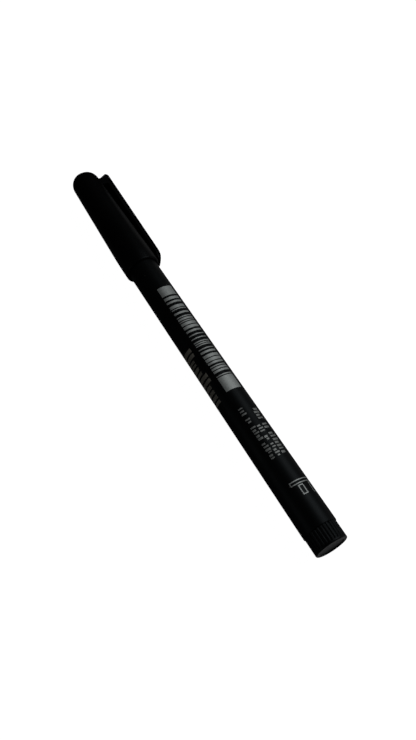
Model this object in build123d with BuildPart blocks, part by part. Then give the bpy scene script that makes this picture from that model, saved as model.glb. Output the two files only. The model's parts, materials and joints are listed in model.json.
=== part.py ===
from build123d import *
from math import asin, atan2, cos, radians, sin, sqrt
import os

# A capped fine-tip marker pen, lying at rest on a table.
# It touches the table with the tail edge of its barrel, the mouth of its cap and the side edge of
# its clip, which stops it from rolling. Lengths are in millimetres, and places along the pen ("_x")
# are counted from the tail face towards the cap.

# ---- Whole pen ----
pen_length = 141.0
cap_length = 42.9

# ---- Fits ----
seat_gap = 0.02  # pieces pushed together for good, radial
slide_gap = 0.05  # cap and liner over the front section, radial
end_gap = 0.10  # end faces that stop each other

# ---- Barrel ----
barrel_tail_radius = 4.80
barrel_front_radius = 4.36
barrel_wall = 0.60  # at the front end, where it is thinnest
tail_socket_wall = 0.75
edge_break = 0.12
keeper_rib_count = 4
keeper_rib_height = 0.34
keeper_rib_width = 0.60

# ---- Tail plug ----
plug_head_length = 5.1
plug_step = 0.20  # the head stays this far inside the barrel's surface
plug_edge_round = 0.30
plug_spigot_length = 8.0
plug_wall = 1.0
plug_floor = 2.0
end_recess_depth = 0.25
end_recess_rim = 0.75
flute_count = 30
flute_depth = 0.24
flute_radius = 0.32
flute_rim = 0.6  # smooth band left between the flutes and the tail face

# ---- Reservoir ----
film_thickness = 0.10
nib_socket_depth = 5.0

# ---- Front section and nib ----
section_spigot_length = 8.0
section_chamber_radius = 2.6
section_chamber_past = 2.0  # the chamber runs this far past the barrel's end
collar_step = 0.36  # from the barrel's surface down to the collar
collar_length = 6.5
collar_chamfer = 0.4
bead_height = 0.06
bead_radius = 0.40
neck_gap = 0.13  # from the neck to the bore in the cap's top
neck_length = 2.6
seal_land_length = 3.2
seal_land_chamfer = 0.3
cone_length = 7.6
nose_radius = 1.35
nose_length = 2.1
nose_chamfer = 0.25
nib_radius = 0.90
nib_bare_length = 0.5
nib_taper_length = 1.5
nib_point_radius = 0.30

# ---- Cap ----
cap_wall = 0.80  # at the mouth
cap_mouth_gap = 0.11  # between the barrel and the mouth
cap_top_radius = 4.13
cap_top_wall = 0.65
cap_straight_length = 6.4  # the cap is straight for this far from its mouth, then tapers
cap_blend_radius = 150.0
crown_shift = 0.45  # the cap is fuller on the clip's side: a second dome is set this far off the axis
crown_growth = 0.07  # the second dome's radius is this much larger
flank_run_in = 3.0  # the flank under the clip starts to fill out this far past the straight part
flank_sink = 0.02  # where it starts, it lies this far below the surface
mouth_round = 0.45
mouth_lead_in = 0.25
liner_wall = 0.45
liner_chamfer = 0.2
liner_setback = 0.3  # from the start of the seal land to the liner's mouth
liner_floor = 0.8
nib_air_gap = 5.2  # from the nib's point to the liner's floor

# ---- Clip ----
clip_width = 4.4
clip_thickness = 1.35  # near its nose
clip_root_thickness = 1.80  # where it leaves the bridge
clip_root_rise = 3.71  # from the cap's surface to the clip's outer face, at the root
clip_nose_rise = 1.91  # the same, where the nose begins
clip_edge_round = 0.40
clip_nose_radius = 8.0
clip_nose_turn = 32.0  # degrees that the nose curls in towards the pen
clip_tip_setback = 0.05  # from the cap's mouth to the clip's tip
clip_tip_lip = 0.2  # the end of the nose's curve stands this far back from the tip
clip_tip_round = 2.1
clip_bead_gap = 0.14  # from the cap's surface to the gripping bead under the nose
clip_bead_length = 2.2
clip_bead_ramp = 1.5
bridge_depth = 2.8  # along the pen
bridge_setback = 4.6  # from the cap's top to the bridge's upper side
bridge_ledge = 0.4  # flat part of the bridge's upper side, beside the cap
head_rise = 1.2  # the clip's head stands this far above the bridge
head_thickness = 1.1
head_outer_round = 1.0
head_inner_round = 0.35
hinge_gap = 0.02

# ---- Places along the pen ----
mouth_x = pen_length - cap_length
dome_x = pen_length - cap_top_radius
crown_x = dome_x - crown_growth
liner_floor_x = dome_x - liner_floor
nib_point_x = liner_floor_x - nib_air_gap
nose_end_x = nib_point_x - nib_taper_length - nib_bare_length
cone_end_x = nose_end_x - nose_length
land_end_x = cone_end_x - cone_length
land_start_x = land_end_x - seal_land_length
collar_end_x = land_start_x - neck_length
barrel_end_x = collar_end_x - collar_length
section_back_x = barrel_end_x - section_spigot_length
spigot_end_x = plug_head_length + plug_spigot_length
reservoir_tail_x = spigot_end_x + end_gap
reservoir_front_x = section_back_x - end_gap
liner_start_x = land_start_x + liner_setback
taper_start_x = mouth_x + cap_straight_length
flank_start_x = taper_start_x + flank_run_in
bridge_top_x = pen_length - bridge_setback
bridge_bottom_x = bridge_top_x - bridge_depth
head_top_x = bridge_top_x + head_rise
head_round_x = head_top_x - head_outer_round
arm_top_x = bridge_bottom_x - hinge_gap
clip_tip_x = mouth_x + clip_tip_setback
nose_start_x = clip_tip_x + clip_tip_lip + clip_nose_radius * sin(radians(clip_nose_turn))


def barrel_radius(x):
    """Radius of the tapered barrel at a place along the pen."""
    share = (barrel_end_x - x) / (barrel_end_x - plug_head_length)
    return barrel_front_radius + (barrel_tail_radius - barrel_front_radius) * share


# ---- Radii that follow from the fits ----
bore_radius = barrel_front_radius - barrel_wall
tail_socket_radius = barrel_tail_radius - tail_socket_wall
plug_head_radius = barrel_tail_radius - plug_step
plug_spigot_radius = tail_socket_radius - seat_gap
keeper_radius = bore_radius - keeper_rib_height
film_radius = keeper_radius - seat_gap
core_radius = film_radius - film_thickness
section_spigot_radius = bore_radius - seat_gap
collar_radius = barrel_front_radius - collar_step
bead_crest_radius = collar_radius + bead_height
nib_bore_radius = nib_radius + seat_gap
mouth_bore_radius = barrel_radius(mouth_x) + cap_mouth_gap
cap_mouth_radius = mouth_bore_radius + cap_wall
collar_bore_radius = bead_crest_radius + slide_gap
top_bore_radius = cap_top_radius - cap_top_wall
neck_radius = top_bore_radius - neck_gap
liner_radius = top_bore_radius - seat_gap
liner_bore_radius = liner_radius - liner_wall
seal_land_radius = liner_bore_radius - slide_gap
clip_root_radius = cap_top_radius + clip_root_rise
clip_nose_start_radius = cap_mouth_radius + clip_nose_rise
clip_slope = (clip_root_radius - clip_nose_start_radius) / (bridge_top_x - nose_start_x)


def clip_radius(x):
    """Distance of the clip's outer face from the pen's axis, from its head to its nose."""
    return clip_nose_start_radius + clip_slope * (x - nose_start_x)


# ---- How the pen lies ----
# The table touches two circles, at the barrel's tail and the cap's mouth, so the axis leans a little.
tail_touch_x = plug_head_length + edge_break
mouth_touch_x = mouth_x + mouth_round
touch_rise = cap_mouth_radius - barrel_radius(tail_touch_x)
lean = atan2(touch_rise, mouth_touch_x - tail_touch_x)


def table_distance(x):
    """Distance from the pen's axis to the table, square to the axis."""
    return barrel_radius(tail_touch_x) + touch_rise * (x - tail_touch_x) / (mouth_touch_x - tail_touch_x)


def clip_dip(x):
    """Angle below the horizontal at which the clip's rounded lower edge touches the table."""
    edge_out = clip_radius(x) - clip_edge_round
    edge_across = clip_width / 2 - clip_edge_round
    reach = sqrt(edge_out**2 + edge_across**2)
    return asin((table_distance(x) - clip_edge_round) / reach) - atan2(edge_across, edge_out)


dip = min(clip_dip(head_round_x), clip_dip(nose_start_x))
clip_reach = (
    (clip_radius(head_round_x) - clip_edge_round) * cos(dip)
    + (clip_width / 2 - clip_edge_round) * sin(dip)
    + clip_edge_round
)
tail_centre = Vector(
    -pen_length / 2,
    (clip_reach - cap_mouth_radius) / 2,
    table_distance(0) * cos(lean),
)

# ---- Planes ----
# On side_plane and clip_plane, x runs along the pen and y away from its axis.
along = Vector(cos(lean), 0, sin(lean))
above = Vector(-sin(lean), 0, cos(lean))
clip_out = Vector(0, -1, 0) * cos(dip) - above * sin(dip)
pen_axis = Axis(tail_centre, along)
side_plane = Plane(tail_centre, x_dir=along, z_dir=along.cross(above))
clip_plane = Plane(tail_centre, x_dir=along, z_dir=along.cross(clip_out))
clip_plan = Plane(tail_centre, x_dir=along, z_dir=clip_out)
tail_plane = Plane(tail_centre, x_dir=above, z_dir=along)


def turn(*outline, mode=Mode.ADD):
    """Turn a closed half section, given as (place along the pen, radius) points, about the axis."""
    with BuildSketch(side_plane) as section:
        with BuildLine():
            Polyline(*outline, close=True)
        make_face()
    revolve(section.sketch, axis=pen_axis, mode=mode)


def is_clip_edge(edge):
    """Tell the long outer edges of the clip, which are rounded, from its other edges."""
    place = clip_plan.to_local_coords(edge.center())
    beside = abs(abs(place.Y) - clip_width / 2) < hinge_gap
    return beside and place.Z > cap_mouth_radius + clip_thickness / 2 and edge.length > clip_edge_round


def write(piece, name):
    """Label a finished piece and export it."""
    piece.part.label = name
    export_step(piece.part, f"parts/{name}.step")


os.makedirs("parts", exist_ok=True)


# ---- Barrel: a tapered tube, open at both ends, with ribs inside that hold the reservoir ----
with BuildPart() as barrel:
    turn(
        (plug_head_length, tail_socket_radius),
        (plug_head_length, barrel_radius(plug_head_length) - edge_break),
        (tail_touch_x, barrel_radius(tail_touch_x)),
        (barrel_end_x - edge_break, barrel_radius(barrel_end_x - edge_break)),
        (barrel_end_x, barrel_front_radius - edge_break),
        (barrel_end_x, bore_radius),
        (spigot_end_x, bore_radius),
        (spigot_end_x, tail_socket_radius),
    )
    with BuildSketch(tail_plane.offset(reservoir_tail_x)):
        with PolarLocations((keeper_radius + bore_radius + seat_gap) / 2, keeper_rib_count):
            Rectangle(keeper_rib_height + seat_gap, keeper_rib_width)
    extrude(amount=reservoir_front_x - reservoir_tail_x)
write(barrel, "barrel")


# ---- Tail plug: a fluted head outside the barrel and a hollow spigot pushed into it ----
with BuildPart() as tail_plug:
    turn(
        (end_recess_depth, 0),
        (end_recess_depth, plug_head_radius - plug_edge_round - end_recess_rim),
        (0, plug_head_radius - plug_edge_round - end_recess_rim),
        (0, plug_head_radius),
        (plug_head_length, plug_head_radius),
        (plug_head_length, plug_spigot_radius),
        (spigot_end_x, plug_spigot_radius),
        (spigot_end_x, plug_spigot_radius - plug_wall),
        (plug_floor, plug_spigot_radius - plug_wall),
        (plug_floor, 0),
    )
    tail_rims = tail_plug.edges().group_by(pen_axis)[0]
    fillet(tail_rims.sort_by(SortBy.RADIUS)[-1], plug_edge_round)
    with BuildSketch(tail_plane.offset(flute_rim)):
        with PolarLocations(plug_head_radius - flute_depth + flute_radius, flute_count):
            Circle(flute_radius)
    extrude(amount=plug_head_length - flute_rim, mode=Mode.SUBTRACT)
write(tail_plug, "tail_plug")


# ---- Reservoir: a bonded fibre rod that holds the ink, wrapped in a thin film ----
with BuildPart() as reservoir_core:
    turn(
        (reservoir_tail_x, 0),
        (reservoir_tail_x, core_radius),
        (reservoir_front_x, core_radius),
        (reservoir_front_x, nib_bore_radius),
        (reservoir_front_x - nib_socket_depth, nib_bore_radius),
        (reservoir_front_x - nib_socket_depth, 0),
    )
write(reservoir_core, "reservoir_core")

with BuildPart() as reservoir_film:
    turn(
        (reservoir_tail_x, core_radius),
        (reservoir_tail_x, film_radius),
        (reservoir_front_x, film_radius),
        (reservoir_front_x, core_radius),
    )
write(reservoir_film, "reservoir_film")


# ---- Front section: holds the nib, closes the barrel and carries the cap's snap bead and seal ----
with BuildPart() as front_section:
    turn(
        (section_back_x, section_chamber_radius),
        (section_back_x, section_spigot_radius),
        (barrel_end_x, section_spigot_radius),
        (barrel_end_x, collar_radius),
        (collar_end_x - collar_chamfer, collar_radius),
        (collar_end_x, collar_radius - collar_chamfer),
        (collar_end_x, neck_radius),
        (land_start_x, neck_radius),
        (land_start_x, seal_land_radius - seal_land_chamfer),
        (land_start_x + seal_land_chamfer, seal_land_radius),
        (land_end_x - seal_land_chamfer, seal_land_radius),
        (land_end_x, seal_land_radius - seal_land_chamfer),
        (cone_end_x, nose_radius),
        (nose_end_x - nose_chamfer, nose_radius),
        (nose_end_x, nose_radius - nose_chamfer),
        (nose_end_x, nib_bore_radius),
        (barrel_end_x + section_chamber_past, nib_bore_radius),
        (barrel_end_x + section_chamber_past, section_chamber_radius),
    )
    bead_x = (barrel_end_x + collar_end_x) / 2
    with BuildSketch(side_plane):
        with Locations((bead_x, bead_crest_radius - bead_radius)):
            Circle(bead_radius)
    revolve(axis=pen_axis)
write(front_section, "front_section")


# ---- Nib: a fibre rod pushed through the section, with its tail in the reservoir ----
with BuildPart() as nib:
    nib_back_x = reservoir_front_x - nib_socket_depth
    with BuildSketch(side_plane):
        with BuildLine():
            Polyline(
                (nib_point_x - nib_point_radius, nib_point_radius),
                (nose_end_x + nib_bare_length, nib_radius),
                (nib_back_x, nib_radius),
                (nib_back_x, 0),
                (nib_point_x, 0),
            )
            RadiusArc((nib_point_x, 0), (nib_point_x - nib_point_radius, nib_point_radius), -nib_point_radius)
        make_face()
    revolve(axis=pen_axis)
write(nib, "nib")


# ---- Cap: a tapered shell with a domed top, moulded in one with the bridge and head of its clip ----
with BuildPart() as cap_shell:
    with BuildSketch(side_plane):
        with BuildLine():
            Polyline(
                (dome_x, 0),
                (mouth_x, 0),
                (mouth_x, cap_mouth_radius),
                (taper_start_x, cap_mouth_radius),
                (dome_x, cap_top_radius),
                close=True,
            )
        cap_outline = make_face()
        corners = cap_outline.vertices()
        fillet(corners.sort_by_distance((mouth_x, cap_mouth_radius))[0], mouth_round)
        fillet(corners.sort_by_distance((taper_start_x, cap_mouth_radius))[0], cap_blend_radius)
    revolve(axis=pen_axis)
    with Locations(side_plane.from_local_coords((dome_x, 0, 0))):
        Sphere(cap_top_radius)
    crown_centre = clip_plane.from_local_coords((crown_x, crown_shift, 0))
    with Locations(crown_centre):
        Sphere(cap_top_radius + crown_growth)
    with BuildSketch(Plane(side_plane.from_local_coords((flank_start_x, 0, 0)), z_dir=along)):
        flank_share = (flank_start_x - taper_start_x) / (dome_x - taper_start_x)
        flank_radius = cap_mouth_radius + (cap_top_radius - cap_mouth_radius) * flank_share
        Circle(flank_radius - flank_sink)
    with BuildSketch(Plane(crown_centre, z_dir=along)):
        Circle(cap_top_radius + crown_growth)
    loft()
    with BuildSketch(clip_plane):
        with BuildLine():
            Polyline(
                (bridge_bottom_x, 0),
                (bridge_bottom_x, clip_radius(bridge_bottom_x)),
                (head_top_x, clip_radius(head_top_x)),
                (head_top_x, clip_radius(head_top_x) - head_thickness),
                (bridge_top_x, cap_top_radius + bridge_ledge),
                (bridge_top_x, 0),
                close=True,
            )
        head = make_face()
        head_corners = head.vertices().sort_by(Axis.X)[-2:].sort_by(Axis.Y)
        fillet(head_corners[1], head_outer_round)
        fillet(head.vertices().sort_by(Axis.X)[-1], head_inner_round)
    extrude(amount=clip_width / 2, both=True)
    fillet(cap_shell.edges().filter_by(is_clip_edge), clip_edge_round)
    turn(
        (mouth_x, 0),
        (mouth_x, mouth_bore_radius + mouth_lead_in),
        (mouth_x + mouth_lead_in, mouth_bore_radius),
        (barrel_end_x + end_gap, mouth_bore_radius),
        (barrel_end_x + end_gap, collar_bore_radius),
        (collar_end_x + end_gap, collar_bore_radius),
        (collar_end_x + collar_bore_radius - top_bore_radius, top_bore_radius),
        (dome_x, top_bore_radius),
        (dome_x, 0),
        mode=Mode.SUBTRACT,
    )
    with Locations(side_plane.from_local_coords((dome_x, 0, 0))):
        Sphere(top_bore_radius, mode=Mode.SUBTRACT)
write(cap_shell, "cap_shell")


# ---- Cap liner: a soft thimble pressed into the cap, which seals around the front section ----
with BuildPart() as cap_liner:
    turn(
        (liner_start_x, liner_bore_radius + liner_chamfer),
        (liner_start_x, liner_radius - liner_chamfer),
        (liner_start_x + liner_chamfer, liner_radius),
        (dome_x, liner_radius),
        (dome_x, 0),
        (liner_floor_x, 0),
        (liner_floor_x, liner_bore_radius),
        (liner_start_x + liner_chamfer, liner_bore_radius),
    )
write(cap_liner, "cap_liner")


# ---- Clip: the sprung arm, which bends at its root just under the bridge ----
with BuildPart() as clip_arm:
    bead_inner_radius = cap_mouth_radius + clip_bead_gap
    bead_end_x = clip_tip_x + clip_bead_length
    ramp_end_x = bead_end_x + clip_bead_ramp
    with BuildSketch(clip_plane):
        with BuildLine():
            arm_face = Line((arm_top_x, clip_radius(arm_top_x)), (nose_start_x, clip_nose_start_radius))
            nose = JernArc(arm_face @ 1, arm_face % 1, clip_nose_radius, clip_nose_turn)
            Polyline(
                nose @ 1,
                (clip_tip_x, bead_inner_radius),
                (bead_end_x, bead_inner_radius),
                (ramp_end_x, clip_radius(ramp_end_x) - clip_thickness),
                (arm_top_x, clip_radius(arm_top_x) - clip_root_thickness),
                arm_face @ 0,
            )
        make_face()
    extrude(amount=clip_width / 2, both=True)
    fillet(clip_arm.edges().filter_by(is_clip_edge), clip_edge_round)
    with BuildSketch(clip_plan):
        with BuildLine():
            Polyline(
                (arm_top_x, -clip_width / 2),
                (clip_tip_x, -clip_width / 2),
                (clip_tip_x, clip_width / 2),
                (arm_top_x, clip_width / 2),
                close=True,
            )
        plan = make_face()
        fillet(plan.vertices().sort_by(Axis.X)[:2], clip_tip_round)
    extrude(amount=clip_root_radius, mode=Mode.INTERSECT)
write(clip_arm, "clip_arm")
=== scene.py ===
import json
import math
import random

import bmesh
import bpy
from mathutils import Matrix, Vector


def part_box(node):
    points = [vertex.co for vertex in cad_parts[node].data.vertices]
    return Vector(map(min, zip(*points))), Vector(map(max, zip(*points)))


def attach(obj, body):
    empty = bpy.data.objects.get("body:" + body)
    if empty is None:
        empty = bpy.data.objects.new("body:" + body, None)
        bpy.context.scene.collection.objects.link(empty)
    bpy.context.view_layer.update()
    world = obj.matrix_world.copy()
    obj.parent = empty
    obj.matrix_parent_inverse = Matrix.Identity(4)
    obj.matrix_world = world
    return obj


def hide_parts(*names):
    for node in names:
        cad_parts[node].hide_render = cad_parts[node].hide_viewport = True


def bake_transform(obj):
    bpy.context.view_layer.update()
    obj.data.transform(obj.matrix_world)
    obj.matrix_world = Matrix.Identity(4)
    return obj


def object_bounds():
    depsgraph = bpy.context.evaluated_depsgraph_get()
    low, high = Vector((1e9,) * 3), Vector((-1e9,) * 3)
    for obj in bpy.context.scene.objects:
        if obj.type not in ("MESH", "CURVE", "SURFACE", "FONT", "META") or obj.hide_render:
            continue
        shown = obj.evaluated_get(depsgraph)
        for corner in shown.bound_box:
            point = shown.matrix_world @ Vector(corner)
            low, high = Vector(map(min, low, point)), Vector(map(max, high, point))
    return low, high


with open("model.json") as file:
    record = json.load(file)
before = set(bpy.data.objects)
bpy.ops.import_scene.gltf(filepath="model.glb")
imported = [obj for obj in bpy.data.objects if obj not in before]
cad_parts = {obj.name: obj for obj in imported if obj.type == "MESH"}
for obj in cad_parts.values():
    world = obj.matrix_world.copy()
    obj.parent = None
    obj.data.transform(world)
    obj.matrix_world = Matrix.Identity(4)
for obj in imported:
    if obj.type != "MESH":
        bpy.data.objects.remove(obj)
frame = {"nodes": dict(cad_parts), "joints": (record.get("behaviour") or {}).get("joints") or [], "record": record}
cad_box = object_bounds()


# ---------------------------------------------------------------------------------------------
# The pen's axis. The pen lies on a table, capped. The cap slides along the axis, and the clip's
# hinge stands out from it on the clip's side, so both joints and the tail's flat face say where
# everything is. Below, a "place" is in mm along the pen from its tail face, and a "turn" is in
# degrees about the axis, from straight up towards the clip's side.
# ---------------------------------------------------------------------------------------------
MM = 0.001
joints = {joint["name"]: joint for joint in frame["joints"]}
mounts = {mount["name"]: mount for mount in frame["record"]["mounts"]}

along = Vector(joints["cap_pull"]["axis"]).normalized()
above = Vector((0, 0, 1))
above = (above - along * above.dot(along)).normalized()
aside = along.cross(above)

core_low, core_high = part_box("reservoir_core")
core_middle = (core_low + core_high) / 2
tail_rest = Vector(mounts["tail_rest"]["pos_m"])
tail = core_middle + along * (tail_rest - core_middle).dot(along)

hinge = Vector(joints["clip_flex"]["pos_m"]) - tail
clip_turn = math.degrees(math.atan2(hinge.dot(aside), hinge.dot(above)))


def spot(place, radius, turn):
    """The point at that place along the pen, radius (in mm) and turn about its axis."""
    angle = math.radians(turn)
    out = above * math.cos(angle) + aside * math.sin(angle)
    return tail + (along * place + out * radius) * MM


# ---------------------------------------------------------------------------------------------
# Camera. It looks down on the pen from behind its tail, tipped towards the cap, and is rolled so
# that the cap points to the upper left.
# ---------------------------------------------------------------------------------------------
camera_behind_tail = 38.3
camera_above_axis = 201.3
camera_tip = 25.75
camera_yaw = -0.2
camera_roll = 34.21
camera_lens = 39.37

look = along * math.sin(math.radians(camera_tip)) - above * math.cos(math.radians(camera_tip))
upright = along * math.cos(math.radians(camera_tip)) + above * math.sin(math.radians(camera_tip))
look = Matrix.Rotation(math.radians(-camera_yaw), 3, upright) @ look
upright = Matrix.Rotation(math.radians(camera_roll), 3, look) @ upright
right = look.cross(upright)

camera_data = bpy.data.cameras.new("camera")
camera_data.lens = camera_lens
camera = bpy.data.objects.new("camera", camera_data)
camera.matrix_world = Matrix.Translation(spot(-camera_behind_tail, camera_above_axis, 0)) @ (
    Matrix((right, upright, -look)).transposed().to_4x4()
)
bpy.context.scene.collection.objects.link(camera)
bpy.context.scene.camera = camera
bpy.context.scene.view_settings.view_transform = "Standard"


# ---------------------------------------------------------------------------------------------
# Shader sockets. Arithmetic on a Signal adds Math nodes, and node() adds any other node.
# ---------------------------------------------------------------------------------------------
class Signal:
    """A socket in a material's node tree, or the tree itself before there is a socket."""

    def __init__(self, tree, socket=None):
        self.tree = tree
        self.socket = socket

    def node(self, kind, settings, sockets, output=0):
        """Add a node: its settings first, then a value or a Signal for each socket."""
        made = self.tree.nodes.new(kind)
        for name, value in settings.items():
            if name == "stops":
                made.color_ramp.elements[0].position = value[0][0]
                made.color_ramp.elements[1].position = value[-1][0]
                for stop in value[1:-1]:
                    made.color_ramp.elements.new(stop[0])
                for element, stop in zip(made.color_ramp.elements, value):
                    element.color = (stop[1], stop[1], stop[1], 1)
            else:
                setattr(made, name, value)
        for name, value in sockets.items():
            if isinstance(value, Signal):
                self.tree.links.new(value.socket, made.inputs[name])
            else:
                made.inputs[name].default_value = value
        return Signal(self.tree, made.outputs[output])

    def maths(self, operation, first, second):
        return self.node("ShaderNodeMath", {"operation": operation}, {0: first, 1: second})

    def __add__(self, other):
        return self.maths("ADD", self, other)

    def __radd__(self, other):
        return self.maths("ADD", other, self)

    def __sub__(self, other):
        return self.maths("SUBTRACT", self, other)

    def __rsub__(self, other):
        return self.maths("SUBTRACT", other, self)

    def __mul__(self, other):
        return self.maths("MULTIPLY", self, other)

    def __rmul__(self, other):
        return self.maths("MULTIPLY", other, self)

    def __gt__(self, other):
        return self.maths("GREATER_THAN", self, other)

    def __lt__(self, other):
        return self.maths("LESS_THAN", self, other)


# ---------------------------------------------------------------------------------------------
# Table and studio. The pen lies on a plain white table under a plain white surround. A long
# softbox on the clip's side gives the black plastic its sheen, and a weaker one fills the far side.
# Pale cards on the table beside the pen light its flanks and the flat face of its tail.
# ---------------------------------------------------------------------------------------------
table_half_width = 1.6
table_glow = 0.99
surround_white = (1.0, 1.0, 1.0, 1.0)
card_lift = 0.0001


def link(name, mesh):
    """Put a mesh into the scene as an object of that name."""
    made = bpy.data.objects.new(name, mesh)
    bpy.context.scene.collection.objects.link(made)
    return made


def plain_material(name):
    """A new material, its Principled shader and a Signal on its tree."""
    material = bpy.data.materials.new(name)
    material.use_nodes = True
    return material, material.node_tree.nodes["Principled BSDF"], Signal(material.node_tree)


table_mesh = bpy.data.meshes.new("table")
table_top = bmesh.new()
bmesh.ops.create_grid(table_top, x_segments=8, y_segments=8, size=table_half_width)
bmesh.ops.translate(table_top, verts=table_top.verts, vec=(0, 0, cad_box[0].z))
table_top.to_mesh(table_mesh)
table_top.free()
table = link("table", table_mesh)
table_finish, table_shader, _ = plain_material("white_table")
table_shader.inputs["Base Color"].default_value = (0.85, 0.85, 0.85, 1)
table_shader.inputs["Roughness"].default_value = 0.9
table_shader.inputs["Specular IOR Level"].default_value = 0.1
table_shader.inputs["Emission Color"].default_value = (1, 1, 1, 1)
table_shader.inputs["Emission Strength"].default_value = table_glow
table_mesh.materials.append(table_finish)
table.visible_diffuse = False
table.visible_glossy = False

surround = bpy.data.worlds.new("surround")
surround.use_nodes = True
surround.node_tree.nodes["Background"].inputs["Color"].default_value = surround_white
surround.cycles_visibility.diffuse = False
surround.cycles_visibility.glossy = False
bpy.context.scene.world = surround


def area_light(name, centre, back, length, width, watts):
    """A rectangular light at a point, its long side along the pen, shining away from its back."""
    data = bpy.data.lights.new(name, "AREA")
    data.shape = "RECTANGLE"
    data.size = length * MM
    data.size_y = width * MM
    data.energy = watts
    light = link(name, data)
    light.matrix_world = Matrix.Translation(centre) @ (
        Matrix((along, back.cross(along), back)).transposed().to_4x4()
    )


def softbox(name, place, turn, distance, length, width, watts):
    """A softbox that faces the pen from a turn about its axis."""
    back = (spot(place, distance, turn) - spot(place, 0, 0)).normalized()
    area_light(name, spot(place, distance, turn), back, length, width, watts)


def card(name, place, sideways, length, width, watts):
    """A pale card that lies on the table beside the pen and throws light up at it."""
    centre = spot(place, sideways, 90)
    centre.z = cad_box[0].z + card_lift
    area_light(name, centre, Vector((0, 0, -1)), length, width, watts)


softbox("main_softbox", place=80, turn=57, distance=420, length=380, width=240, watts=0.36)
softbox("far_side_fill", place=60, turn=-60, distance=420, length=300, width=200, watts=0.05)
card("clip_side_card", place=60, sideways=24.5, length=160, width=40, watts=0.0022)
card("far_side_card", place=70, sideways=-26, length=180, width=40, watts=0.0004)
card("tail_card", place=-14, sideways=9, length=26, width=30, watts=0.0007)


# ---------------------------------------------------------------------------------------------
# Barrel. A tube of black polypropylene, injection moulded, tapering from the tail to the front.
# Its surface is satin, with fine moulded grain, polish where fingers hold it and hair scratches.
# ---------------------------------------------------------------------------------------------
def reach(node):
    """The first and last place along the pen that a CAD node covers."""
    places = [(v.co - tail).dot(along) / MM for v in frame["nodes"][node].data.vertices]
    return min(places), max(places)


def girth(node, place, slack=0.3):
    """The largest radius of a CAD node's vertices near a place along the pen."""
    arms = [(v.co - tail) / MM for v in frame["nodes"][node].data.vertices]
    near = [arm for arm in arms if abs(arm.dot(along) - place) < slack]
    return max((arm - along * arm.dot(along)).length for arm in near)


barrel_start, barrel_end = reach("barrel")
barrel_tail_radius = girth("barrel", barrel_start)
barrel_front_radius = girth("barrel", barrel_end)
barrel_wall = 0.6
barrel_edge = 0.12
barrel_black = (0.0036, 0.0038, 0.0042)


def rounded(outline, steps=6):
    """Replace each corner that gives a third value, a radius, with an arc."""
    points = []
    for index, corner in enumerate(outline):
        here = Vector(corner[:2])
        if len(corner) == 2:
            points.append(here)
            continue
        into = (Vector(outline[index - 1][:2]) - here).normalized()
        onward = (Vector(outline[(index + 1) % len(outline)][:2]) - here).normalized()
        half = into.angle(onward) / 2
        centre = here + (into + onward).normalized() * (corner[2] / math.sin(half))
        first = here + into * (corner[2] / math.tan(half)) - centre
        sweep = first.angle_signed(here + onward * (corner[2] / math.tan(half)) - centre)
        for step in range(steps + 1):
            points.append(centre + Matrix.Rotation(-sweep * step / steps, 2) @ first)
    return points


def turned(name, outline, steps=192, shape=spot):
    """Turn a closed outline of (place, radius) points, or one with its ends on the axis."""
    on_axis = 1e-6
    profile = rounded(outline)
    solid = bmesh.new()
    rings = []
    for point in profile:
        if point.y < on_axis:
            rings.append([solid.verts.new(spot(point.x, 0, 0))])
            continue
        turns = [360 * step / steps for step in range(steps)]
        rings.append([solid.verts.new(shape(point.x, point.y, turn)) for turn in turns])
    closed = len(rings[0]) > 1
    pairs = list(zip(rings, rings[1:] + rings[:1])) if closed else list(zip(rings, rings[1:]))
    for ring, following in pairs:
        for step in range(steps):
            after = (step + 1) % steps
            if len(ring) == 1:
                solid.faces.new((ring[0], following[step], following[after]))
            elif len(following) == 1:
                solid.faces.new((ring[step], following[0], ring[after]))
            else:
                solid.faces.new((ring[step], following[step], following[after], ring[after]))
    return finished(name, solid)


def finished(name, solid, crease=28):
    """Turn built faces into a smooth-shaded object with its sharp edges kept."""
    bmesh.ops.recalc_face_normals(solid, faces=solid.faces)
    mesh = bpy.data.meshes.new(name)
    solid.to_mesh(mesh)
    solid.free()
    mesh.shade_smooth()
    mesh.set_sharp_from_angle(angle=math.radians(crease))
    return link(name, mesh)


def millimetres(tree):
    """The object's coordinates, in millimetres."""
    metres = tree.node("ShaderNodeTexCoord", {}, {}, "Object")
    scale = {0: metres, "Scale": 1 / MM}
    return metres.node("ShaderNodeVectorMath", {"operation": "SCALE"}, scale)


def drive(shader, tone, rough, bump):
    """Link the three inputs of a shader that vary over a surface."""
    for socket_name, value in (("Base Color", tone), ("Roughness", rough), ("Normal", bump)):
        value.tree.links.new(value.socket, shader.inputs[socket_name])


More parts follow.
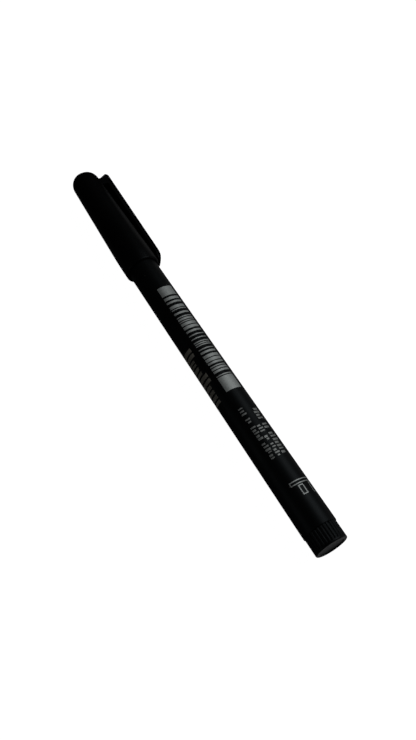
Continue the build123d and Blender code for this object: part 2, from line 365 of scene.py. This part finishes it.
def satin_plastic(name, colour, roughness, grain, scratches, dust, level=0.20):
    """Moulded plastic: fine grain, hair scratches along the pen, polished patches and dust."""
    along_scratch = (0.09, 1, 1)
    scratch_stops = [(0.485, 0), (0.5, 1), (0.515, 0)]
    speck_size = 0.05
    speck_share = 0.62
    dusty = (0.16, 0.155, 0.145, 1)
    paler = tuple(channel * 2.2 + 0.004 for channel in colour)
    cool_sheen = (0.80, 0.93, 1.0, 1)

    material, shader, tree = plain_material(name)
    here = millimetres(tree)
    stretch = {0: here, 1: along_scratch}
    stretched = here.node("ShaderNodeVectorMath", {"operation": "MULTIPLY"}, stretch)
    fine = here.node("ShaderNodeTexNoise", {}, {"Vector": here, "Scale": 7.0, "Detail": 3.0})
    strands = {"Vector": stretched, "Scale": 2.6, "Detail": 5.0, "Roughness": 0.7}
    hairs = here.node("ShaderNodeTexNoise", {}, strands)
    patches = here.node("ShaderNodeTexNoise", {}, {"Vector": here, "Scale": 0.16, "Detail": 3.0})
    scratch = here.node("ShaderNodeValToRGB", {"stops": scratch_stops}, {"Fac": hairs})
    cells = {"Vector": here, "Scale": 0.55}
    near = here.node("ShaderNodeTexVoronoi", {}, cells, "Distance")
    chosen = here.node("ShaderNodeTexVoronoi", {}, cells, "Color")
    speck = (near < speck_size) * (chosen > speck_share) * dust

    wear = {0: scratch * (scratches * 0.5), 6: (*colour, 1), 7: (*paler, 1)}
    worn = here.node("ShaderNodeMix", {"data_type": "RGBA"}, wear, 2)
    tone = here.node("ShaderNodeMix", {"data_type": "RGBA"}, {0: speck, 6: worn, 7: dusty}, 2)
    sheen = roughness + (patches - 0.5) * 0.16 + (fine - 0.5) * 0.10 + scratch * (0.10 * scratches)
    height = fine * grain - scratch * (0.35 * scratches) + speck * 0.8
    relief = {"Strength": 0.35, "Distance": 0.012 * MM, "Height": height}
    bump = here.node("ShaderNodeBump", {}, relief)
    drive(shader, tone, sheen, bump)
    shader.inputs["Specular IOR Level"].default_value = level
    shader.inputs["Specular Tint"].default_value = cool_sheen
    return material


def barrel_radius(place):
    """Outer radius of the tapered barrel."""
    share = (barrel_end - place) / (barrel_end - barrel_start)
    return barrel_front_radius + (barrel_tail_radius - barrel_front_radius) * share


barrel_bore = barrel_front_radius - barrel_wall
barrel = turned(
    "barrel_tube",
    [
        (barrel_start, barrel_bore),
        (barrel_start, barrel_tail_radius, barrel_edge),
        (barrel_end, barrel_front_radius, barrel_edge),
        (barrel_end, barrel_bore),
    ],
)
barrel.data.materials.append(
    satin_plastic("barrel_black", barrel_black, 0.46, grain=1.0, scratches=0.7, dust=0.7)
)
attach(barrel, "barrel")
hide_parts("barrel")


# ---------------------------------------------------------------------------------------------
# Print on the barrel, screen printed while it turns. In silver ink: a block of stripes, three lines
# of small dashes and an outlined mark near the tail. In warm grey matt ink: a row of plain tokens.
# ---------------------------------------------------------------------------------------------
ink_proud = 0.012
ink_sunk = 0.05


def ink_patch(layer, start, end, first_turn, last_turn):
    """Add a thin patch of ink that follows the barrel between two places and two turns."""
    steps = max(1, math.ceil(abs(last_turn - first_turn) / 3))
    top, under = [], []
    for step in range(steps + 1):
        turn = first_turn + (last_turn - first_turn) * step / steps
        for row, lift in ((top, ink_proud), (under, -ink_sunk)):
            ends = [spot(place, barrel_radius(place) + lift, turn) for place in (start, end)]
            row.append([layer.verts.new(point) for point in ends])
    for row in (top, under):
        for one, two in zip(row, row[1:]):
            layer.faces.new((one[0], one[1], two[1], two[0]))
    for side in (0, 1):
        for one, two, three, four in zip(top, top[1:], under[1:], under):
            layer.faces.new((one[side], two[side], three[side], four[side]))
    for end_row in (0, -1):
        layer.faces.new((top[end_row][0], top[end_row][1], under[end_row][1], under[end_row][0]))


def ink_finish(name, colour, metal):
    """Screen-printed ink, silver (metal=1) or matt (0): slightly mottled, with a few pinholes."""
    material, shader, tree = plain_material(name)
    here = millimetres(tree)
    mottle = here.node("ShaderNodeTexNoise", {}, {"Vector": here, "Scale": 1.1, "Detail": 4.0})
    screen = here.node("ShaderNodeTexNoise", {}, {"Vector": here, "Scale": 9.0, "Detail": 2.0})
    thin = here.node("ShaderNodeValToRGB", {"stops": [(0.30, 1), (0.36, 0)]}, {"Fac": screen})
    deep = tuple(channel * 0.72 for channel in colour)
    tones = {0: mottle, 6: (*deep, 1), 7: (*colour, 1)}
    shade = here.node("ShaderNodeMix", {"data_type": "RGBA"}, tones, 2)
    holes = {0: thin, 6: shade, 7: (*barrel_black, 1)}
    holed = here.node("ShaderNodeMix", {"data_type": "RGBA"}, holes, 2)
    relief = {"Strength": 0.3, "Distance": 0.01 * MM, "Height": screen}
    bump = here.node("ShaderNodeBump", {}, relief)
    rough = 0.62 + (mottle - 0.5) * 0.15
    drive(shader, holed, rough, bump)
    shader.inputs["Metallic"].default_value = metal
    return material


def printed(name, layer, finish):
    """Finish a layer of ink and fix it to the barrel."""
    piece = finished(name, layer)
    piece.data.materials.append(finish)
    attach(piece, "barrel")


pale_ink = ink_finish("pale_silver_ink", (0.80, 0.85, 0.84), metal=1.0)
thin_ink = ink_finish("thin_silver_ink", (0.58, 0.61, 0.60), metal=1.0)
warm_ink = ink_finish("warm_grey_ink", (0.56, 0.54, 0.46), metal=0.0)

stripe_block_end = 86.9
stripes_end = 83.5
stripe_module = 0.33
stripe_modules = 95
stripe_block_start = 48.1
stripe_turns = (0, 62)
dark_widths = (1, 1, 1, 2, 3)
light_widths = (1, 1, 2, 2, 3)
stripe_bars = random.Random(11)
stripe_layer = bmesh.new()
ink_patch(stripe_layer, stripes_end, stripe_block_end, *stripe_turns)
module = 0
while module < stripe_modules:
    module += stripe_bars.choice(dark_widths)
    light = min(stripe_bars.choice(light_widths), stripe_modules - module)
    if light > 0:
        light_end = stripes_end - module * stripe_module
        ink_patch(stripe_layer, light_end - light * stripe_module, light_end, *stripe_turns)
        module += light
ink_patch(stripe_layer, stripe_block_start, stripes_end - module * stripe_module, *stripe_turns)
printed("print_stripe_block", stripe_layer, pale_ink)

token_place = 65.4
token_gap = 0.55
token_turns = (-77, -21)
token_short = 0.75
token_split = (0.42, 0.62)
tokens = ((2.9, 1), (1.9, token_short), (2.6, token_short))
tokens += ((2.8, 1), (2.8, token_short), (2.6, token_short))
token_layer = bmesh.new()
for width, height in tokens:
    top_turn = token_turns[0] + (token_turns[1] - token_turns[0]) * height
    first_end, second_start = (token_place - width * share for share in token_split)
    ink_patch(token_layer, first_end, token_place, token_turns[0], top_turn)
    ink_patch(token_layer, token_place - width, second_start, token_turns[0], top_turn)
    token_place -= width + token_gap
printed("print_tokens", token_layer, warm_ink)

dash_starts = (0, 0, 0.2)
dash_shortfalls = (0, 0.15, 0.3)
dash_fill = (0.4, 0.72)
dash_sizes = random.Random(4)
dash_layer = bmesh.new()
dash_lines = (
    (42.1, 25.1, -2, 15.5, (3, 2, 5, 6)),
    (35.6, 25.2, 20, 36, (3, 2, 5)),
    (40.7, 25.6, 41, 64, (4, 2, 7)),
)
for line_end, line_start, low_turn, high_turn, groups in dash_lines:
    pitch = (line_end - line_start) / (sum(groups) + len(groups) - 1)
    tall = high_turn - low_turn
    place = line_end
    for dashes in groups:
        for _ in range(dashes):
            start_turn = low_turn + tall * dash_sizes.choice(dash_starts)
            end_turn = high_turn - tall * dash_sizes.choice(dash_shortfalls)
            length = pitch * dash_sizes.uniform(*dash_fill)
            ink_patch(dash_layer, place - length, place, start_turn, end_turn)
            place -= pitch
        place -= pitch
printed("print_dash_lines", dash_layer, thin_ink)

mark_line = 0.26
mark_line_turn = math.degrees(mark_line / barrel_tail_radius)
mark_bars = ((16.75, 17.9, -1, 78), (13.6, 16.4, 20, 38), (13.4, 16.4, 62, 80))
mark_layer = bmesh.new()
for start, end, low_turn, high_turn in mark_bars:
    ink_patch(mark_layer, start, start + mark_line, low_turn, high_turn)
    ink_patch(mark_layer, end - mark_line, end, low_turn, high_turn)
    for turn in (low_turn, high_turn - mark_line_turn):
        ink_patch(mark_layer, start + mark_line, end - mark_line, turn, turn + mark_line_turn)
printed("print_outlined_mark", mark_layer, pale_ink)


# ---------------------------------------------------------------------------------------------
# Tail plug. Moulded in the barrel's plastic and pushed into its open tail. Thirty flutes give a
# grip on the head, which ends in a smooth band and a shallow round recess.
# ---------------------------------------------------------------------------------------------
plug_start, plug_end = reach("tail_plug")
plug_radius = girth("tail_plug", barrel_start - 0.5, slack=0.6)
plug_edge = 0.30
plug_spigot_radius = barrel_tail_radius - 0.77
plug_face_gap = 0.01
plug_bore = 3.03
plug_floor = 2.0
recess_radius = 3.55
recess_depth = 0.25
flute_count = 30
flute_depth = 0.24
flute_width = 0.58
flute_start = 0.6
flute_run_in = 0.3
flute_steps = 14
recess_corner = 0.08
spigot_round = 0.2


def fluted(place, radius, turn):
    """Sink the head's surface into flutes between its smooth band and the barrel."""
    if radius < plug_radius - plug_face_gap or place > barrel_start + plug_face_gap:
        return spot(place, radius, turn)
    depth = min(1, max(0, (place - flute_start) / flute_run_in))
    swing = abs((turn * flute_count / 360) % 1 - 0.5) * 2
    groove = max(0, 1 - ((1 - swing) / flute_width) ** 2) ** 0.5
    return spot(place, radius - flute_depth * depth * groove, turn)


plug = turned(
    "fluted_tail_plug",
    [
        (recess_depth, 0),
        (recess_depth, recess_radius, recess_corner),
        (plug_start, recess_radius, recess_corner),
        (plug_start, plug_radius, plug_edge),
        *[(flute_start + flute_run_in * share, plug_radius) for share in (0, 0.3, 0.6, 1)],
        (barrel_start - plug_face_gap, plug_radius),
        (barrel_start - plug_face_gap, plug_spigot_radius),
        (plug_end, plug_spigot_radius, spigot_round),
        (plug_end, plug_bore, spigot_round),
        (plug_floor, plug_bore, 0.3),
        (plug_floor, 0),
    ],
    steps=flute_count * flute_steps,
    shape=fluted,
)
plug_black = (0.0045, 0.0045, 0.0048)
plug.data.materials.append(
    satin_plastic("plug_black", plug_black, 0.45, grain=0.8, scratches=0.6, dust=0.8)
)
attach(plug, "barrel")
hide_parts("tail_plug")


# ---------------------------------------------------------------------------------------------
# Reservoir. A rod of bonded polyester fibre, soaked with black ink, in a wrap of thin film. Both
# are sealed inside the barrel, and their shapes are the frame's own.
# ---------------------------------------------------------------------------------------------
def fibre_finish(name, colour, roughness):
    """Bonded fibre, much finer across the pen than along it."""
    strands_per_metre = (60, 4000, 4000)
    material, shader, tree = plain_material(name)
    metres = tree.node("ShaderNodeTexCoord", {}, {}, "Object")
    scaled = {0: metres, 1: strands_per_metre}
    strands = metres.node("ShaderNodeVectorMath", {"operation": "MULTIPLY"}, scaled)
    weave = metres.node("ShaderNodeTexNoise", {}, {"Vector": strands, "Scale": 1.5, "Detail": 4.0})
    paler = tuple(channel * 1.9 for channel in colour)
    tones = {0: weave, 6: (*colour, 1), 7: (*paler, 1)}
    tone = metres.node("ShaderNodeMix", {"data_type": "RGBA"}, tones, 2)
    relief = {"Strength": 0.6, "Distance": 0.03 * MM, "Height": weave}
    bump = metres.node("ShaderNodeBump", {}, relief)
    rough = roughness + (weave - 0.5) * 0.2
    drive(shader, tone, rough, bump)
    return material


inked_fibre = fibre_finish("inked_fibre", (0.012, 0.012, 0.016), 0.85)
film_grey = (0.30, 0.30, 0.31)
wrap_film = satin_plastic("clear_grey_film", film_grey, 0.22, grain=0.3, scratches=0.3, dust=0)
for node, finish in (("reservoir_core", inked_fibre), ("reservoir_film", wrap_film)):
    frame["nodes"][node].data.materials.clear()
    frame["nodes"][node].data.materials.append(finish)


# ---------------------------------------------------------------------------------------------
# Front section. A glossy black moulding pushed into the barrel's front. Its collar carries the
# bead that the cap snaps over, its land seals in the cap's liner, and its nose holds the nib.
# ---------------------------------------------------------------------------------------------
section_start, section_end = reach("front_section")
spigot_radius = barrel_bore - 0.02
collar_radius = barrel_front_radius - 0.36
collar_end = barrel_end + 6.5
bead_middle = (barrel_end + collar_end) / 2
bead_half = 0.21
bead_rise = 0.06
neck_radius = 3.35
land_start = collar_end + 2.6
land_end = land_start + 3.2
land_radius = 2.96
cone_end = section_end - 2.1
nose_radius = 1.35
nib_bore = 0.92
chamber_radius = 2.6
chamber_end = barrel_end + 2

section = turned(
    "front_section_moulding",
    [
        (section_start, chamber_radius),
        (section_start, spigot_radius, 0.15),
        (barrel_end, spigot_radius),
        (barrel_end, collar_radius, 0.08),
        (bead_middle - bead_half, collar_radius),
        (bead_middle, collar_radius + bead_rise, 0.3),
        (bead_middle + bead_half, collar_radius),
        (collar_end, collar_radius, 0.40),
        (collar_end, neck_radius, 0.12),
        (land_start, neck_radius, 0.20),
        (land_start, land_radius, 0.12),
        (land_end, land_radius, 0.30),
        (cone_end, nose_radius, 1.2),
        (section_end, nose_radius, 0.25),
        (section_end, nib_bore, 0.05),
        (chamber_end, nib_bore),
        (chamber_end, chamber_radius),
    ],
)
section_black = (0.006, 0.006, 0.0065)
section.data.materials.append(
    satin_plastic("section_black", section_black, 0.26, grain=0.3, scratches=0.5, dust=0.3)
)
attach(section, "barrel")
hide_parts("front_section")


# ---------------------------------------------------------------------------------------------
# Nib. A rod of hard bonded fibre, stained by the ink and ground to a fine round point. It is held
# in the front section's bore, and its back end reaches into the reservoir.
# ---------------------------------------------------------------------------------------------
nib_start, nib_end = reach("nib")
nib_radius = 0.90
nib_taper = 1.5
nib_point_radius = 0.24

nib = turned(
    "fibre_nib",
    [
        (nib_start, 0),
        (nib_start, nib_radius, 0.1),
        (nib_end - nib_taper, nib_radius, 0.4),
        (nib_end, nib_point_radius, 0.2),
        (nib_end, 0),
    ],
    steps=64,
)
nib.data.materials.append(fibre_finish("stained_nib", (0.010, 0.010, 0.014), 0.7))
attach(nib, "barrel")
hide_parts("nib")


# ---------------------------------------------------------------------------------------------
# Cap. A thin tapered shell of black polypropylene with a domed top, a rounded lip at its mouth
# and stepped bores inside. It is fuller on the clip's side, and a little glossier than the barrel.
# ---------------------------------------------------------------------------------------------
cap_start, cap_end = reach("cap_shell")
cap_top_radius = 4.13
cap_dome = cap_end - cap_top_radius
cap_mouth_radius = girth("cap_shell", cap_start + 3.0, slack=3.0)
cap_taper_start = cap_start + 6.4
cap_blend = 150.0
cap_lip = 0.45
crown_shift = 0.45
crown_growth = 0.07
flank_start = cap_taper_start + 3.0
flank_sink = 0.02
flank_steps = 40
surface_slack = 0.02
mouth_bore = 4.508
mouth_bore_end = barrel_end + 0.1
mouth_lead_in = 0.25
collar_bore = 4.11
collar_bore_end = collar_end + 0.1
top_bore = 3.48
dome_steps = 14


def quarter(step, steps):
    """The angle after some of the equal steps of a quarter turn."""
    return math.pi / 2 * step / steps


def dome(centre, radius, outward):
    """Points of a quarter circle from the side to the top of the dome, or back down again."""
    angles = [quarter(step, dome_steps) for step in range(1, dome_steps)]
    points = [(centre + radius * math.sin(angle), radius * math.cos(angle)) for angle in angles]
    return points if outward else points[::-1]


def crowned(place, radius, turn):
    """Fill out the cap on the clip's side, by a slanting flank that ends in a dome off the axis."""
    if abs(radius - cap_outside(place)) > surface_slack or place < flank_start:
        return spot(place, radius, turn)
    ball_radius = cap_top_radius + crown_growth
    ball_centre = cap_end - ball_radius
    if place > ball_centre:
        shift = crown_shift
        slice_radius = math.sqrt(max(0, ball_radius**2 - (place - ball_centre) ** 2))
    else:
        share = (place - flank_start) / (ball_centre - flank_start)
        shift = crown_shift * share
        start_radius = cap_outside(flank_start) - flank_sink
        slice_radius = start_radius + (ball_radius - start_radius) * share
    if shift * math.cos(math.radians(turn - clip_turn)) + slice_radius < radius:
        return spot(place, radius, turn)
    return spot(place, shift, clip_turn) + (spot(0, slice_radius, turn) - tail)


def cap_outside(place):
    """Outer radius of the cap, without its rounded lip and its fuller side."""
    if place > cap_dome:
        return math.sqrt(max(0, cap_top_radius**2 - (place - cap_dome) ** 2))
    share = max(0, (place - cap_taper_start) / (cap_dome - cap_taper_start))
    return cap_mouth_radius + (cap_top_radius - cap_mouth_radius) * share


def spread(start, end, count):
    """Evenly spaced places from start up to, but not including, end."""
    return [start + (end - start) * step / count for step in range(count)]


flank_places = spread(flank_start, cap_dome, flank_steps)
cap_outline = [
    (cap_dome + top_bore, 0),
    *dome(cap_dome, top_bore, outward=False),
    (cap_dome, top_bore),
    (collar_bore_end + collar_bore - top_bore, top_bore),
    (collar_bore_end, collar_bore),
    (mouth_bore_end, collar_bore),
    (mouth_bore_end, mouth_bore),
    (cap_start + mouth_lead_in, mouth_bore),
    (cap_start, mouth_bore + mouth_lead_in, 0.1),
    (cap_start, cap_mouth_radius, cap_lip),
    (cap_taper_start, cap_mouth_radius, cap_blend),
    *[(place, cap_outside(place)) for place in flank_places],
    (cap_dome, cap_top_radius),
    *dome(cap_dome, cap_top_radius, outward=True),
    (cap_end, 0),
]
cap = turned("cap_body", cap_outline, shape=crowned)
cap_black = (0.0030, 0.0030, 0.0033)
cap_finish = satin_plastic(
    "cap_black", cap_black, 0.38, grain=0.6, scratches=0.8, dust=0.9, level=0.16
)
cap.data.materials.append(cap_finish)
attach(cap, "cap")
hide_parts("cap_shell")


# ---------------------------------------------------------------------------------------------
# Cap liner. A thimble of milky polyethylene pressed into the cap's top, soft enough to seal round
# the section's land and keep the nib wet.
# ---------------------------------------------------------------------------------------------
liner_start, liner_end = reach("cap_liner")
liner_wall = 0.45
liner_radius = top_bore - 0.02
liner_bore = liner_radius - liner_wall
liner_floor = liner_end - 0.8
liner_lip = liner_wall * 0.4
liner_white = (0.55, 0.54, 0.50)

liner = turned(
    "sealing_liner",
    [
        (liner_floor, 0),
        (liner_floor, liner_bore, 0.4),
        (liner_start, liner_bore, liner_lip),
        (liner_start, liner_radius, liner_lip),
        (liner_end, liner_radius, 0.1),
        (liner_end, 0),
    ],
    steps=128,
)
liner.data.materials.append(
    satin_plastic("milky_polyethylene", liner_white, 0.40, grain=0.4, scratches=0.2, dust=0)
)
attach(liner, "cap")
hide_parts("cap_liner")


# ---------------------------------------------------------------------------------------------
# Clip. One strip of the cap's own plastic: a head and a bridge that grow out of the cap near its
# top, a flat sprung arm, and a nose that curls in beside the mouth with a gripping bead under it.
# ---------------------------------------------------------------------------------------------
clip_half_width = 2.2
clip_thickness = 1.35
clip_root_thickness = 1.80
clip_tip, _ = reach("clip_arm")
clip_hinge = hinge.dot(along) / MM
clip_hinge_radius = (hinge - along * hinge.dot(along)).length / MM
clip_outer_corner = 0.4
clip_inner_corner = 0.18
tip_round = 2.1
tip_lip = 0.2
curl_radius = 8.0
curl_turn = 32
nose_start = clip_tip + tip_lip + curl_radius * math.sin(math.radians(curl_turn))
nose_start_radius = cap_mouth_radius + 1.91
bead_radius = cap_mouth_radius + 0.14
bead_end = clip_tip + 2.2
ramp_end = bead_end + 1.5
bridge_end = clip_hinge + 2.8
bridge_root = 3.9
bridge_fillet = 0.5
bridge_ledge = 0.4
head_end = bridge_end + 1.2
head_thickness = 1.1
head_round = 1.0
clip_slope = (clip_hinge_radius - nose_start_radius) / (clip_hinge - nose_start)


def clip_outside(place):
    """Distance of the clip's outer face from the axis."""
    if place < nose_start:
        drop = curl_radius - math.sqrt(max(0, curl_radius**2 - (nose_start - place) ** 2))
        return nose_start_radius - drop - clip_slope * (nose_start - place)
    face = nose_start_radius + clip_slope * (place - nose_start)
    past = place - (head_end - head_round)
    if past > 0:
        face -= head_round - math.sqrt(max(0, head_round**2 - past**2))
    return face


def clip_inside(place):
    """Distance of the clip's inner side from the axis: bead, arm, bridge, then the head's slope."""
    if place <= bead_end:
        return bead_radius
    growth = max(0, (place - ramp_end) / (clip_hinge - ramp_end))
    thickness = clip_thickness + growth * (clip_root_thickness - clip_thickness)
    arm = nose_start_radius + clip_slope * (place - nose_start) - thickness
    if place < ramp_end:
        share = (place - bead_end) / (ramp_end - bead_end)
        return bead_radius + (arm - bead_radius) * share
    if place <= clip_hinge - bridge_fillet:
        return arm
    if place <= clip_hinge:
        past = place - (clip_hinge - bridge_fillet)
        return arm - bridge_fillet + math.sqrt(max(0, bridge_fillet**2 - past**2))
    if place <= bridge_end:
        return bridge_root
    share = (place - bridge_end) / (head_end - bridge_end)
    ledge = cap_top_radius + bridge_ledge
    return ledge + (clip_outside(head_end - head_round) - head_thickness - ledge) * share


def clip_half(place):
    """Half the clip's width, rounded off at its tip."""
    short = tip_round - (place - clip_tip)
    if short <= 0:
        return clip_half_width
    return clip_half_width - tip_round + math.sqrt(max(0, tip_round**2 - short**2))


def clip_ring(solid, place):
    """One section across the clip, a rectangle with rounded corners."""
    low, high, half = clip_inside(place), clip_outside(place), clip_half(place)
    room = min(half, (high - low) / 2) * 0.95
    arc_steps = 4
    ring = []
    for side, face in ((1, 1), (-1, 1), (-1, -1), (1, -1)):
        radius = min(clip_outer_corner if face > 0 else clip_inner_corner, room)
        centre_across = side * (half - radius)
        centre_out = high - radius if face > 0 else low + radius
        arc = range(arc_steps + 1) if side * face < 0 else range(arc_steps, -1, -1)
        for step in arc:
            angle = quarter(step, arc_steps)
            across = centre_across + side * radius * math.cos(angle)
            out = centre_out + face * radius * math.sin(angle)
            ring.append((across, out))
    axis_point = spot(place, 0, 0)
    out_way = spot(0, 1, clip_turn) - spot(0, 0, 0)
    across_way = spot(0, 1, clip_turn + 90) - spot(0, 0, 0)
    points = [axis_point + across_way * across + out_way * out for across, out in ring]
    return [solid.verts.new(point) for point in points]


tip_steps = 10
head_steps = 8
step_half = 0.001  # half the distance between the two rings at a sudden step
clip_places = []
for step in range(tip_steps):
    clip_places.append(clip_tip + tip_round * (1 - math.cos(quarter(step, tip_steps))))
clip_places += spread(clip_tip + tip_round, nose_start, 6)
clip_places += spread(nose_start, clip_hinge - bridge_fillet, 24)
clip_places += spread(clip_hinge - bridge_fillet, clip_hinge, 6)
clip_places += spread(clip_hinge + 0.4, bridge_end, 4)
clip_places += spread(bridge_end + 0.2, head_end - head_round, 3)
for step_place in (clip_hinge, bridge_end):
    clip_places += [step_place - step_half, step_place + step_half]
for step in range(head_steps + 1):
    clip_places.append(head_end - head_round * (1 - math.sin(quarter(step, head_steps))))
clip_solid = bmesh.new()
clip_rings = [clip_ring(clip_solid, place) for place in sorted(clip_places)]
for ring, following in zip(clip_rings, clip_rings[1:]):
    for index in range(len(ring)):
        after = (index + 1) % len(ring)
        clip_solid.faces.new((ring[index], following[index], following[after], ring[after]))
clip_solid.faces.new(clip_rings[0])
clip_solid.faces.new(clip_rings[-1][::-1])
clip = finished("pocket_clip", clip_solid, crease=35)
clip.data.materials.append(cap_finish)
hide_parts("clip_arm")
bend_start = clip_hinge + 0.5
bend_end = clip_hinge - 3.0
tuple(spot(bend_start, clip_hinge_radius, clip_turn))
tuple(spot(bend_end, clip_hinge_radius, clip_turn))
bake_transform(clip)
